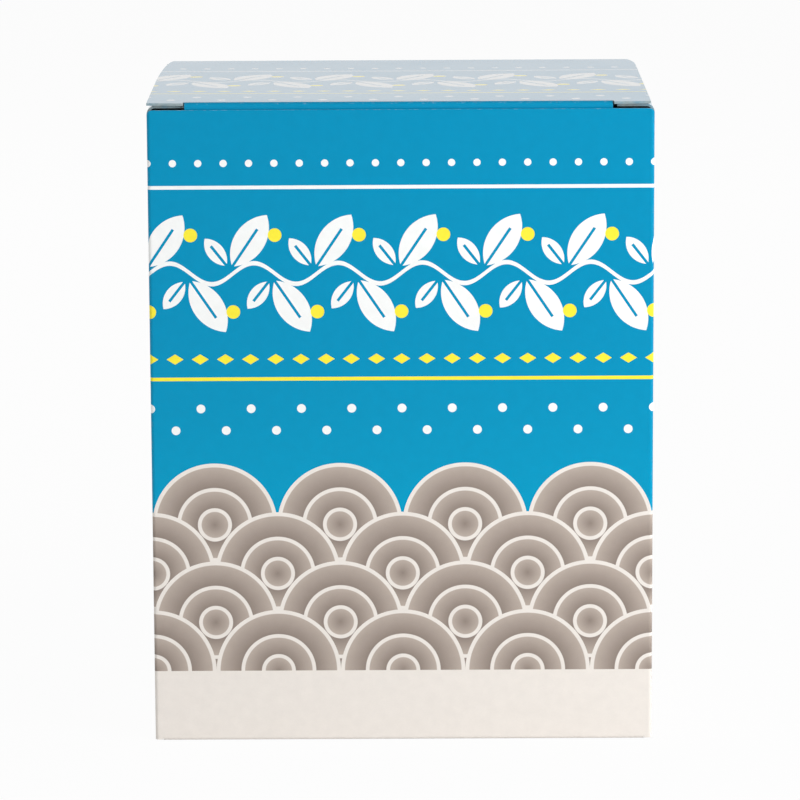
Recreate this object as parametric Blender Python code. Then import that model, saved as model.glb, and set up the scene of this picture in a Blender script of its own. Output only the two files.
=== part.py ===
"""A mushroom grow kit's folding carton: a tuck-end box with a locking bottom.

It is one die-cut sheet of coated board, modelled as the panels that its creases part. The four
walls are one sleeve with a glued seam. The lid swings on the back crease, the tuck flap on the
lid's front crease, and a dust flap on the crease of each side wall. The four bottom flaps hook
into each other.

Metres, +Z up, the front wall faces -Y. The origin is the middle of the base.
"""

import math

import bmesh
import bpy
from mathutils import Vector

MM = 0.001

# The carton's size over its walls, the front wall's height, and the board that it is cut from
CARTON_WIDTH = 125.0 * MM
CARTON_DEPTH = 92.0 * MM
FRONT_HEIGHT = 160.0 * MM
BOARD = 0.6 * MM

# Clearance between two layers of board that lie on or beside each other
LAYER_GAP = 0.3 * MM

# Vertical creases and the glued seam at the back left corner
CREASE_RADIUS = 0.9 * MM
CREASE_STEPS = 3
FRONT_CORNER_CUT = 1.0 * MM
GLUE_FLAP_WIDTH = 14.0 * MM
GLUE_FLAP_TAPER = 5.0 * MM
SEAM_GROOVE = 0.4 * MM

# Lid: a little narrower than the sleeve, eased towards its hinge, with a slit at each end of its
# front crease
LID_SIDE_INSET = 0.5 * MM
HINGE_EASE_DEPTH = 14.0 * MM
HINGE_EASE_WIDTH = 2.3 * MM
LIP_LENGTH = 9.0 * MM
LIP_SETBACK = 0.2 * MM
FOLD_BEVEL = 0.35 * MM

# Tuck flap: it hangs from the lid's front crease behind the front wall, tip leaning inwards. Its
# root is mitred and kept clear of the lid's underside, so that it can fold further in
TUCK_LENGTH = 15.0 * MM
TUCK_LEAN = math.radians(6.0)
TUCK_CORNER_RADIUS = 8.0 * MM
TUCK_SIDE_TAPER = 1.5 * MM
WING_CLEARANCE = 0.9 * MM
SLIT_RELIEF = 3.5 * MM
FOLD_CLEARANCE = 0.5 * MM
FOLD_MITRE = 0.75 * MM

# Dust flaps: a lock shoulder under the lid's lip, then a set-back edge, and a long taper at the
# back, steep enough for the lid to swing up over the flap while the flap rises half as far
DUST_FLAP_LENGTH = 44.0 * MM
SHOULDER_CLEARANCE = 2.2 * MM
SHOULDER_STEP = 2.8 * MM
DUST_FRONT_TAPER = 3.5 * MM
DUST_BACK_CLEARANCE = 1.5 * MM
DUST_BACK_SLOPE = 0.55
DUST_CORNER_RADIUS = 7.0 * MM

# Bottom: the front flap lies lowest, the side flaps on it, the back flap on those, and the
# front flap's tongue climbs through the back flap's notch and lies on top
ROOT_INSET = 2.0 * MM
ROOT_RAMP = 4.0 * MM
BOTTOM_SIDE_INSET = 5.5 * MM
TONGUE_WIDTH = 52.0 * MM
TONGUE_OVERLAP = 11.0 * MM
TONGUE_SHOULDER = 9.0 * MM
TONGUE_CORNER_RADIUS = 7.0 * MM
NOTCH_CLEARANCE = 2.0 * MM
NOTCH_REACH = 12.0 * MM
EAR_OVERLAP = 8.0 * MM
HOOK_LENGTH = 13.5 * MM
HOOK_NECK = 6.0 * MM
BOTTOM_CORNER_RADIUS = 4.0 * MM

# Facets of a rounded corner and of a fold, how far a cutter reaches past what it cuts, and how near
# two values are to count as one
ARC_STEPS = 6
FOLD_STEPS = 2
CUTTER_REACH = 5.0 * MM
SAME_PLACE = 0.01 * MM

# Levels and places that follow from the sizes above
HALF_WIDTH = CARTON_WIDTH / 2
HALF_DEPTH = CARTON_DEPTH / 2
LAYER = BOARD + LAYER_GAP
ROOT_X = HALF_WIDTH - LAYER
ROOT_Y = HALF_DEPTH - LAYER
DUST_TOP = FRONT_HEIGHT + BOARD
SIDE_HEIGHT = FRONT_HEIGHT - LAYER_GAP
LID_TOP = DUST_TOP + LAYER
BACK_HEIGHT = LID_TOP - LAYER
TUCK_FACE = -ROOT_Y
CREASE_X = HALF_WIDTH - CREASE_RADIUS
CREASE_Y = HALF_DEPTH - CREASE_RADIUS
LID_HALF_WIDTH = HALF_WIDTH - LID_SIDE_INSET
SLIT_END = LID_HALF_WIDTH - LIP_LENGTH
NOTCH_HALF = TONGUE_WIDTH / 2 + NOTCH_CLEARANCE
TONGUE_LEVEL = 3 * LAYER

PRINT_BLUE = (0.0, 0.28, 0.50)
BARE_WHITE = (0.78, 0.77, 0.74)
BARE_GREY = (0.55, 0.53, 0.49)


def clear_scene():
    for obj in list(bpy.data.objects):
        bpy.data.objects.remove(obj, do_unlink=True)


def board_material(name, colour, roughness):
    """A coated or bare face of the board."""
    material = bpy.data.materials.new(name)
    material.use_nodes = True
    shader = material.node_tree.nodes["Principled BSDF"]
    shader.inputs["Base Color"].default_value = (*colour, 1.0)
    shader.inputs["Roughness"].default_value = roughness
    shader.inputs["Metallic"].default_value = 0.0
    return material


def add_object(name, mesh_edit, material=None, origin=(0.0, 0.0, 0.0)):
    """Makes an object of a bmesh whose points are measured from the object's own origin."""
    bmesh.ops.recalc_face_normals(mesh_edit, faces=mesh_edit.faces)
    mesh = bpy.data.meshes.new(name)
    mesh_edit.to_mesh(mesh)
    mesh_edit.free()
    obj = bpy.data.objects.new(name, mesh)
    obj.location = origin
    if material:
        mesh.materials.append(material)
    bpy.context.scene.collection.objects.link(obj)
    return obj


def add_cutter(name, low, high):
    """A box from corner low to corner high, left out of the model."""
    edit = bmesh.new()
    bmesh.ops.create_cube(edit, size=1.0)
    low = Vector(low)
    high = Vector(high)
    bmesh.ops.scale(edit, vec=high - low, verts=edit.verts)
    bmesh.ops.translate(edit, vec=(low + high) / 2, verts=edit.verts)
    cutter = add_object(name, edit)
    cutter.hide_render = True
    cutter.display_type = "WIRE"
    return cutter


def apply_boolean(obj, other, operation):
    modifier = obj.modifiers.new(f"{operation} {other.name}", "BOOLEAN")
    modifier.operation = operation
    modifier.solver = "EXACT"
    modifier.object = other


def rounded_outline(corners):
    """Turns (x, y) or (x, y, radius) corners into points, with an arc at each corner that has a radius."""
    points = []
    count = len(corners)
    for i, corner in enumerate(corners):
        here = Vector(corner[:2])
        radius = corner[2] if len(corner) > 2 else 0.0
        if not radius:
            points.append(here)
            continue
        to_last = (Vector(corners[i - 1][:2]) - here).normalized()
        to_next = (Vector(corners[(i + 1) % count][:2]) - here).normalized()
        half_angle = to_last.angle(to_next) / 2
        start = here + to_last * (radius / math.tan(half_angle))
        end = here + to_next * (radius / math.tan(half_angle))
        centre = here + (to_last + to_next).normalized() * (radius / math.sin(half_angle))
        for step in range(ARC_STEPS + 1):
            share = step / ARC_STEPS
            spoke = (start - centre).slerp(end - centre, share)
            points.append(centre + radius * spoke)
    return points


def mirrored(half_outline):
    """A symmetrical outline, from its right half listed from front to back."""
    left = [(-corner[0], *corner[1:]) for corner in reversed(half_outline)]
    return list(half_outline) + left


def cut_plate(outline, level=0.0):
    """A plate of board cut to an outline, lying flat with its underside at the level."""
    edit = bmesh.new()
    rim = [edit.verts.new((point.x, point.y, level)) for point in rounded_outline(outline)]
    face = edit.faces.new(rim)
    lifted = bmesh.ops.extrude_face_region(edit, geom=[face])["geom"]
    top = [item for item in lifted if isinstance(item, bmesh.types.BMVert)]
    bmesh.ops.translate(edit, vec=(0.0, 0.0, BOARD), verts=top)
    return edit


def crease(edit, place, normal):
    """Scores the plate along the plane through place, so that it can bend there."""
    everything = edit.verts[:] + edit.edges[:] + edit.faces[:]
    bmesh.ops.bisect_plane(edit, geom=everything, plane_co=place, plane_no=normal)


def ramp(edit, axis, start, end, rise):
    """Lifts the plate from nothing at start to rise at end, and by rise beyond it."""
    normal = Vector((0.0, 0.0, 0.0))
    normal[axis] = 1.0
    for place in (start, end):
        crease(edit, normal * place, normal)
    for vertex in edit.verts:
        share = (vertex.co[axis] - start) / (end - start)
        vertex.co.z += rise * min(max(share, 0.0), 1.0)


def soften_fold(edit, is_on_fold):
    """Rounds the outer edge of a fold, where both ends of an edge pass the test."""
    fold = [edge for edge in edit.edges if all(is_on_fold(vertex.co) for vertex in edge.verts)]
    bmesh.ops.bevel(
        edit,
        geom=fold,
        offset=FOLD_BEVEL,
        segments=FOLD_STEPS,
        profile=0.5,
        affect="EDGES",
        material=-1,
    )


def near(value, target):
    return abs(value - target) < SAME_PLACE


def is_on_outside(co):
    """The sleeve's outer face runs one crease radius outside the rectangle of the creases' centres."""
    x_past = max(abs(co.x) - CREASE_X, 0.0)
    y_past = max(abs(co.y) - CREASE_Y, 0.0)
    return near(math.hypot(x_past, y_past), CREASE_RADIUS)


def build_sleeve(material):
    """Front, side and back walls round a glued seam, with a top edge of its own height on each."""
    edit = bmesh.new()
    corner_points = []
    for turn, (x, y) in enumerate(((1, 1), (-1, 1), (-1, -1), (1, -1))):
        centre = Vector((x * CREASE_X, y * CREASE_Y))
        for step in range(CREASE_STEPS + 1):
            angle = math.pi / 2 * (turn + step / CREASE_STEPS)
            corner_points.append(centre + CREASE_RADIUS * Vector((math.cos(angle), math.sin(angle))))
    rim = [edit.verts.new((point.x, point.y, 0.0)) for point in corner_points]
    floor = edit.faces.new(rim)
    floor.normal_update()
    bmesh.ops.inset_region(
        edit, faces=[floor], thickness=BOARD, use_boundary=True, use_even_offset=True
    )
    bmesh.ops.delete(edit, geom=[floor], context="FACES")
    lifted = bmesh.ops.extrude_face_region(edit, geom=edit.faces[:])["geom"]
    top = [item for item in lifted if isinstance(item, bmesh.types.BMVert)]
    bmesh.ops.translate(edit, vec=(0.0, 0.0, BACK_HEIGHT), verts=top)
    soften_fold(edit, lambda co: near(co.z, 0.0) and is_on_outside(co))
    sleeve = add_object("sleeve", edit, material)
    apply_boolean(sleeve, build_glue_flap(), "UNION")
    for trim in build_sleeve_trims():
        apply_boolean(sleeve, trim, "DIFFERENCE")
    return sleeve


def build_sleeve_trims():
    """What is cut from a sleeve of the back wall's height: the lower top edges, and the seam's groove."""
    x_out = HALF_WIDTH + CUTTER_REACH
    y_out = HALF_DEPTH + CUTTER_REACH
    z_out = BACK_HEIGHT + CUTTER_REACH
    trims = [add_cutter("front_trim", (-x_out, -y_out, FRONT_HEIGHT), (x_out, CREASE_Y, z_out))]
    for side, hand in ((-1, "left"), (1, "right")):
        x_low, x_high = sorted((side * CREASE_X, side * x_out))
        corner_height = FRONT_HEIGHT - FRONT_CORNER_CUT
        trims.append(
            add_cutter(f"side_trim_{hand}", (x_low, -CREASE_Y, SIDE_HEIGHT), (x_high, y_out, z_out))
        )
        trims.append(
            add_cutter(f"corner_trim_{hand}", (x_low, -y_out, corner_height), (x_high, -CREASE_Y, z_out))
        )
    groove_low = (-CREASE_X, HALF_DEPTH - SEAM_GROOVE, -CUTTER_REACH)
    groove_high = (-CREASE_X + SEAM_GROOVE, y_out, z_out)
    trims.append(add_cutter("seam_groove", groove_low, groove_high))
    return trims


def build_glue_flap():
    """The left wall's flap round the back left corner, glued to the inside of the back wall.

    Its solid bites into both walls, so that the union makes one piece of them.
    """
    bite = BOARD / 3
    root = -HALF_WIDTH + BOARD - bite
    tip = root + GLUE_FLAP_WIDTH
    foot = TONGUE_LEVEL + LAYER
    head = SIDE_HEIGHT - LAYER
    edit = bmesh.new()
    inner = HALF_DEPTH - 2 * BOARD
    rim = [
        edit.verts.new((root, inner, foot)),
        edit.verts.new((tip, inner, foot + GLUE_FLAP_TAPER)),
        edit.verts.new((tip, inner, head - GLUE_FLAP_TAPER)),
        edit.verts.new((root, inner, head)),
    ]
    face = edit.faces.new(rim)
    lifted = bmesh.ops.extrude_face_region(edit, geom=[face])["geom"]
    back = [item for item in lifted if isinstance(item, bmesh.types.BMVert)]
    bmesh.ops.translate(edit, vec=(0.0, BOARD + bite, 0.0), verts=back)
    flap = add_object("glue_flap", edit)
    flap.hide_render = True
    flap.display_type = "WIRE"
    return flap


def build_lid(material):
    """The top panel. Its ends reach over the front wall as lips beside the slits."""
    lip_front = -HALF_DEPTH + LIP_SETBACK
    ease = []
    for step in range(ARC_STEPS + 1):
        angle = math.pi / 2 * step / ARC_STEPS
        inset = HINGE_EASE_WIDTH * (1.0 - math.cos(angle))
        ahead = HINGE_EASE_DEPTH * (1.0 - math.sin(angle))
        ease.append((LID_HALF_WIDTH - inset, HALF_DEPTH - ahead))
    outline = mirrored(
        [
            (SLIT_END, TUCK_FACE),
            (SLIT_END, lip_front),
            (LID_HALF_WIDTH, lip_front),
            *ease,
        ]
    )
    edit = cut_plate([(x, y - HALF_DEPTH) for x, y in outline], -BOARD)
    soften_fold(edit, lambda co: near(co.z, 0.0) and near(co.y, 0.0))
    soften_fold(edit, lambda co: near(co.z, 0.0) and near(co.y, TUCK_FACE - HALF_DEPTH))
    return add_object("lid", edit, material, (0.0, HALF_DEPTH, LID_TOP))


def build_tuck_flap(material):
    """Drawn flat with +Y down the flap, then hung from the lid's front crease."""
    wing = HALF_WIDTH - BOARD - WING_CLEARANCE
    neck = SLIT_END - LAYER_GAP
    root = BOARD + FOLD_CLEARANCE
    outline = mirrored(
        [
            (neck, root),
            (neck, SLIT_RELIEF),
            (wing, SLIT_RELIEF),
            (wing - TUCK_SIDE_TAPER, TUCK_LENGTH, TUCK_CORNER_RADIUS),
        ]
    )
    edit = cut_plate(outline)
    for vertex in edit.verts:
        if near(vertex.co.y, root) and near(vertex.co.z, BOARD):
            vertex.co.y += FOLD_MITRE
    flap = add_object("tuck_flap", edit, material, (0.0, TUCK_FACE, LID_TOP))
    flap.rotation_euler.x = -math.pi / 2 + TUCK_LEAN
    return flap


def build_dust_flap(side, name, material):
    """side is 1 on the right and -1 on the left; the flap reaches inwards from its side wall."""
    front = -HALF_DEPTH + BOARD + SHOULDER_CLEARANCE
    set_back = front + SHOULDER_STEP
    back = HALF_DEPTH - DUST_BACK_CLEARANCE
    length = DUST_FLAP_LENGTH
    shoulder = HALF_WIDTH - SLIT_END - LAYER_GAP
    outline = [
        (0.0, front),
        (shoulder, front),
        (shoulder + SHOULDER_STEP / 2, set_back),
        (length, set_back + DUST_FRONT_TAPER, DUST_CORNER_RADIUS),
        (length, back - DUST_BACK_SLOPE * length, DUST_CORNER_RADIUS),
        (0.0, back),
    ]
    edit = cut_plate([(-side * corner[0], *corner[1:]) for corner in outline], -BOARD)
    soften_fold(edit, lambda co: near(co.z, 0.0) and near(co.x, 0.0))
    return add_object(name, edit, material, (side * HALF_WIDTH, 0.0, DUST_TOP))


def build_bottom_front(material):
    """The flap that is folded last: it lies on the table, and its tongue climbs to the inside."""
    inner_half = HALF_WIDTH - BOTTOM_SIDE_INSET
    root_half = HALF_WIDTH - ROOT_INSET
    slant = root_half - inner_half
    tongue_half = TONGUE_WIDTH / 2
    outline = mirrored(
        [
            (root_half, -ROOT_Y),
            (inner_half, -ROOT_Y + slant),
            (inner_half, -TONGUE_SHOULDER, BOTTOM_CORNER_RADIUS),
            (tongue_half, 0.0),
            (tongue_half, NOTCH_REACH + TONGUE_OVERLAP, TONGUE_CORNER_RADIUS),
        ]
    )
    edit = cut_plate(outline)
    ramp(edit, 1, 0.0, NOTCH_REACH - LAYER_GAP, TONGUE_LEVEL)
    return add_object("bottom_flap_front", edit, material)


def build_bottom_side(side, name, material):
    """A hooked flap between the front flap and the back flap, beside the tongue."""
    plate = ROOT_X - ROOT_RAMP
    hook_tip = NOTCH_HALF - HOOK_LENGTH
    root_half = HALF_DEPTH - BOTTOM_SIDE_INSET
    outline = [
        (ROOT_X, -root_half),
        (plate, -root_half),
        (hook_tip, -HALF_DEPTH / 2, BOTTOM_CORNER_RADIUS),
        (hook_tip, -HOOK_NECK, BOTTOM_CORNER_RADIUS),
        (NOTCH_HALF, 0.0),
        (NOTCH_HALF, HALF_DEPTH / 2, BOTTOM_CORNER_RADIUS),
        (plate, root_half),
        (ROOT_X, root_half),
    ]
    edit = cut_plate([(side * corner[0], *corner[1:]) for corner in outline])
    ramp(edit, 0, side * ROOT_X, side * plate, LAYER)
    return add_object(name, edit, material)


def build_bottom_back(material):
    """The flap that is folded first, with a notch that the tongue climbs through."""
    inner_half = HALF_WIDTH - BOTTOM_SIDE_INSET
    root_half = HALF_WIDTH - ROOT_INSET
    plate = ROOT_Y - ROOT_RAMP
    outline = mirrored(
        [
            (NOTCH_HALF, NOTCH_REACH),
            (NOTCH_HALF, -EAR_OVERLAP, BOTTOM_CORNER_RADIUS),
            (inner_half, -EAR_OVERLAP / 2, BOTTOM_CORNER_RADIUS),
            (inner_half, plate),
            (root_half, ROOT_Y),
        ]
    )
    edit = cut_plate(outline)
    ramp(edit, 1, ROOT_Y, plate, 2 * LAYER)
    return add_object("bottom_flap_back", edit, material)


def build_carton():
    printed = board_material("printed face", PRINT_BLUE, 0.3)
    bleed = board_material("print bleed", PRINT_BLUE, 0.35)
    white = board_material("bare white face", BARE_WHITE, 0.6)
    inside = board_material("bare grey face", BARE_GREY, 0.8)

    build_sleeve(printed)
    build_lid(printed)
    build_tuck_flap(bleed)
    for side, hand in ((-1, "left"), (1, "right")):
        build_dust_flap(side, f"dust_flap_{hand}", white)
        build_bottom_side(side, f"bottom_flap_{hand}", inside)
    build_bottom_front(white)
    build_bottom_back(inside)


clear_scene()
build_carton()
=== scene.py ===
"""Each panel starts as a flat blank, as thick as the board. Its creases are rolled, and it is placed
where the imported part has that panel. The board has three surfaces: a printed and varnished face, a
bare grey inside, and the raw cut edge.

Metres, +Z up, the front wall faces -Y.
"""

import math

import bmesh
import bpy
from mathutils import Matrix, Vector
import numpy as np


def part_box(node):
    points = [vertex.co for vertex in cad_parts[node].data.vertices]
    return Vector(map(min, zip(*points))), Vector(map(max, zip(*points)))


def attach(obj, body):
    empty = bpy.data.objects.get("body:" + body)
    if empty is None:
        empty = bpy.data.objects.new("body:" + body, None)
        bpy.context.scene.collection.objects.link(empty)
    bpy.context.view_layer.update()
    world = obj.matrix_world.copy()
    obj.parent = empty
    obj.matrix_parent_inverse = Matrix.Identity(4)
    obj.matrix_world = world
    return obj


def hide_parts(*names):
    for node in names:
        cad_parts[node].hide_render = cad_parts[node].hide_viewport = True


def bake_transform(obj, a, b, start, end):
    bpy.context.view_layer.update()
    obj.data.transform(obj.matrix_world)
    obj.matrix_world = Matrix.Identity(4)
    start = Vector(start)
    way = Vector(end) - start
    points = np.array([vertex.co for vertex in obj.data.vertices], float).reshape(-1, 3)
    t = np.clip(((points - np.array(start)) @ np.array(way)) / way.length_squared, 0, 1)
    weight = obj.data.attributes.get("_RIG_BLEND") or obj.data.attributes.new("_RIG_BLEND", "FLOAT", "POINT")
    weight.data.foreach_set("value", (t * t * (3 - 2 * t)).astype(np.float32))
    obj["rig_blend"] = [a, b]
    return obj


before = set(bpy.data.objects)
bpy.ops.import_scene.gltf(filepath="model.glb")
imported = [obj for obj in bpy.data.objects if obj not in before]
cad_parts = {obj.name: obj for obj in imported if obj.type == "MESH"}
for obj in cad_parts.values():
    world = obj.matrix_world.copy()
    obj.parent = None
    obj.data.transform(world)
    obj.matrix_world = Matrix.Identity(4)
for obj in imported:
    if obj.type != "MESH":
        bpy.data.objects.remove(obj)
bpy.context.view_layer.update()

bl_info = {
    "name": "Folding Carton",
    "version": (1, 0, 0),
    "blender": (4, 5, 0),
    "location": "View3D > Sidebar > Carton",
    "description": "Folds a printed tuck-end carton from flat board and sets it on a studio floor",
    "category": "Add Mesh",
}

MM = 0.001
UP = Vector((0.0, 0.0, 1.0))
QUARTER_TURN = math.pi / 2

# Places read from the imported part
SLEEVE_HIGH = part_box("sleeve")[1]
LID_LOW, LID_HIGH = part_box("lid")
TUCK_LOW, TUCK_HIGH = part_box("tuck_flap")
DUST_LOW, DUST_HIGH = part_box("dust_flap_right")
BOTTOM_BACK_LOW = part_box("bottom_flap_back")[0]
BOTTOM_SIDE_LOW, BOTTOM_SIDE_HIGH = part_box("bottom_flap_right")
BOTTOM_FRONT_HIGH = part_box("bottom_flap_front")[1]

HALF_WIDTH = SLEEVE_HIGH.x
HALF_DEPTH = SLEEVE_HIGH.y
LID_TOP = LID_HIGH.z
BACK_TOP = SLEEVE_HIGH.z
DUST_TOP = DUST_HIGH.z
BOARD = LID_HIGH.z - LID_LOW.z
LEVEL = BOTTOM_SIDE_HIGH.z - BOARD

# The walls' top edges. A side wall ends where the rounder crease of its dust flap starts
FRONT_DROP = 0.9 * MM
CORNER_DROP = 1.4 * MM
DUST_RADIUS = 2.0 * MM
FRONT_TOP = BACK_TOP - FRONT_DROP
CORNER_TOP = BACK_TOP - CORNER_DROP
SIDE_TOP = DUST_TOP - DUST_RADIUS

# Glue flap inside the back wall, and the back wall's free edge over it
GLUE_FLAP_WIDTH = 13.6 * MM
GLUE_FLAP_FOOT = 3.6 * MM
GLUE_FLAP_HEAD = 1.8 * MM
GLUE_FLAP_TAPER = 5.0 * MM
GLUE_LINE = 0.02 * MM
SEAM_OVERLAP = 0.3 * MM

# Lid: its lips beside the slits, how far its sides draw in at the hinge and over which length, and
# how far it lies to the side and its garland to the front. A lip droops less at its outer end
LIP_LENGTH = 9.0 * MM
LIP_BEND_DEPTH = 3.8 * MM
LIP_END_DROOP = 0.4
SLIT_GAP = 0.3 * MM
RIGHT_EASE = (2.3 * MM, 14.0 * MM)
LEFT_EASE = (2.5 * MM, 45.0 * MM)
LID_SHIFT = -0.48 * MM
LID_PRINT_SHIFT = 0.5 * MM

# Tuck flap: its lean inwards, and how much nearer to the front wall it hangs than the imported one
TUCK_LEAN = math.radians(6.0)
TUCK_FORWARD = 0.45 * MM
TUCK_CORNER = 8.0 * MM
TUCK_TAPER = 1.5 * MM
TUCK_RELIEF = 3.5 * MM
TUCK_LENGTH = 15.0 * MM

# Dust flaps: a shoulder under each lip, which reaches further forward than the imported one, then
# the front edge steps back behind the tuck flap
SHOULDER_STEP = 2.8 * MM
SHOULDER_FORWARD = 1.0 * MM
DUST_FRONT_TAPER = 3.5 * MM
DUST_BACK_SLOPE = 0.55
DUST_CORNER = 7.0 * MM

# Bottom flaps
BOTTOM_SIDE_INSET = 5.5 * MM
ROOT_INSET = 2.0 * MM
ROOT_RAMP = 4.0 * MM
TONGUE_HALF = 26.0 * MM
TONGUE_SHOULDER = 9.0 * MM
TONGUE_CORNER = 7.0 * MM
NOTCH_HALF = 28.0 * MM
NOTCH_REACH = 12.0 * MM
HOOK_NECK = 6.0 * MM
BOTTOM_CORNER = 4.0 * MM
CORNER_DIP = 0.65 * MM
FLAP_GAP = 0.08 * MM

# How finely a blank is cut: across a crease and beside it, round a corner, and over a panel
CREASE_STEPS = 8
SUPPORT = 0.2 * MM
CORNER_STEPS = 8
PANEL_CELL = 12.0 * MM
SAME_PLACE = 0.001 * MM
SMOOTH_ANGLE = math.radians(32.0)

# Wear: its width along a cut edge, and how worn a crease is beside a cut edge's 1
WORN_RIM = 0.35 * MM
CREASE_WEAR = 0.7

# Names of the board's own map and of its worn places
BOARD_MAP = "board"
WORN = "worn"

# The garland in millimetres: its stem, the leaves of one bay as (across, above, length, width,
# lean), the vein that ends at a share of the leaf's half length, and the berry
STEM_SWING = 2.6
STEM_HALF = 0.55
BAY_LEAVES = (
    (4.2, 8.2, 15.5, 7.6, math.radians(34.0)),
    (-4.2, 5.4, 8.6, 4.2, math.radians(-38.0)),
)
VEIN_HALF = 0.35
VEIN_END = 0.45
BERRY_HEIGHT = 9.6
BERRY_RADIUS = 1.7

# Lines, lozenges and rows of dots in millimetres, their heights counted from the garland's middle.
# A row of dots is (height, shift, step, radius)
LINE_HALF = 0.45
WHITE_LINE = 21.5
ACCENT_LINE = -26.5
LOZENGE_ROW = -21.5
LOZENGE_HALF = (2.1, 1.3)
SMALL_STEP = 6.25
DOT_ROWS = (
    (27.5, 0.0, SMALL_STEP, 0.9),
    (-34.0, 0.0, 2 * SMALL_STEP, 1.1),
    (-39.5, SMALL_STEP, 2 * SMALL_STEP, 1.1),
)

# The scallops' rows, and a scallop's rings, each as where it ends and where the pale line round
# it ends, from the middle at 0 to the rim at 1, and how thin the edge of a ring is
SCALLOP_ROWS = 4
SCALLOP_RINGS = ((0.21, 0.27), (0.54, 0.60), (0.935, 1.0))
RING_EDGE = 0.005

# Noises as (cells in a millimetre, detail, roughness), and how the fine fibres are drawn out
# along the board
FIBRE_STRETCH = (0.35, 1.0, 1.0)
FINE_FIBRES = (5.0, 3.0, 0.6)
COARSE_FIBRES = (0.35, 3.0, 0.55)
SPECKS = (2.6, 2.0, 0.5)
SCUFFS = (1.1, 4.0, 0.7)
SMUDGES = (0.05, 4.0, 0.6)
EDGE_LAYERS = (3.0, 3.0, 0.65)
STAINS = (0.4, 3.0, 0.5)

# The values between which most of a noise lies, those of the cut edge's layers, and where specks
# and stains start and are full
NOISE_RANGE = (0.3, 0.7)
LAYER_RANGE = (0.35, 0.65)
SPECK_RANGE = (0.68, 0.72)
STAIN_RANGE = (0.42, 0.70)

# The fine fibres' share of the relief and of the mottle. The coarse ones have the rest
FINE_IN_RELIEF = 0.7
FINE_IN_MOTTLE = 0.4

# Finishes: how the ink under the varnish, the bare board and the cut edge shine, the varnish, and
# how deep their relief is
PAPER_IOR = 1.45
INK_SPECULAR = 0.06
BARE_SPECULAR = 0.25
EDGE_SPECULAR = 0.2
VARNISH_IOR = 1.13
VARNISH_ROUGHNESS = 0.12
RUBBED_ROUGHNESS = 0.5
UNVARNISHED_ROUGHNESS = 0.25
INK_ROUGHNESS = (0.13, 0.19)
BARE_ROUGHNESS = (0.78, 0.92)
EDGE_ROUGHNESS = (0.75, 0.92)
INK_RELIEF = 0.0015 * MM
BARE_RELIEF = 0.05 * MM
EDGE_RELIEF = 0.06 * MM

# Where ink is rubbed off: how much a worn place adds to the scuffs, and where rubbing starts and
# is full
WORN_PULL = 0.45
RUB_START = 0.85
RUB_FULL = 1.10

# Shares of the plain colour: the ink's darkest and lightest mottle, the bare board's light and
# dark fibres and its specks, and the cut edge's deep layers
INK_MOTTLE = (0.965, 1.035)
LIGHT_FIBRE = 1.14
DARK_FIBRE = 0.86
SPECK = 0.55
DEEP_LAYER = 0.72

# How much of a speck's colour shows
SPECK_STRENGTH = 0.45

# How much ink stains the cut edge, and how much of the ground's blue is painted on the front wall's top
# edge between the slits as a painted highlight, with half the height of that painted highlight in
# millimetres
EDGE_STAIN = (0.15, 0.45)
TOP_PAINTED_HIGHLIGHT = 0.85
TOP_PAINTED_HIGHLIGHT_HALF = 1.0

# The stage: half the floor's width, how far it lies below the lowest flap, the share of plain
# white glow that camera, glossy and transmission rays see in it, the width of the camera's sensor
# in millimetres, and the softboxes
FLOOR_REACH = 6.0
FLOOR_CELLS = 8
FLOOR_GAP = 0.02 * MM
FLOOR_GLOW = 0.955
FLOOR_ROUGHNESS = 0.9
SENSOR_WIDTH = 36.0
SOFTBOX_SIZE = (0.6, 0.4)
KEY_PLACE = (0.62, -0.5, 0.25)
FILL_PLACE = (-0.8, -0.75, 0.25)
BACK_RIGHT_PLACE = (0.85, 0.85, 0.3)
BACK_LEFT_PLACE = (-0.85, 0.85, 0.3)


def distance(name, default, description):
    return bpy.props.FloatProperty(
        name=name, description=description, default=default, min=0.0, unit="LENGTH", precision=5
    )


def share(name, default, description):
    return bpy.props.FloatProperty(
        name=name, description=description, default=default, min=0.0, max=1.0, subtype="FACTOR"
    )


def colour(name, default, description):
    return bpy.props.FloatVectorProperty(
        name=name, description=description, default=default, size=3, min=0.0, max=1.0, subtype="COLOR"
    )


class CartonBoardSettings(bpy.types.PropertyGroup):
    """The board and how it is folded"""

    crease_radius: distance("Crease radius", 0.9 * MM, "Outer radius of a folded crease")
    sink: distance("Panel sink", 0.12 * MM, "How far the middle of a panel lies inside its creases")
    lip_droop: distance("Lip droop", 0.12 * MM, "How far the lid's lips have bent down at the slits")
    inside: colour("Inside", (0.47, 0.45, 0.41), "Bare board inside the carton")
    cut_edge: colour("Cut edge", (0.38, 0.42, 0.40), "The board's raw edge")
    wear: share("Edge wear", 0.18, "How much ink is rubbed off creases and cut edges")


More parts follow.
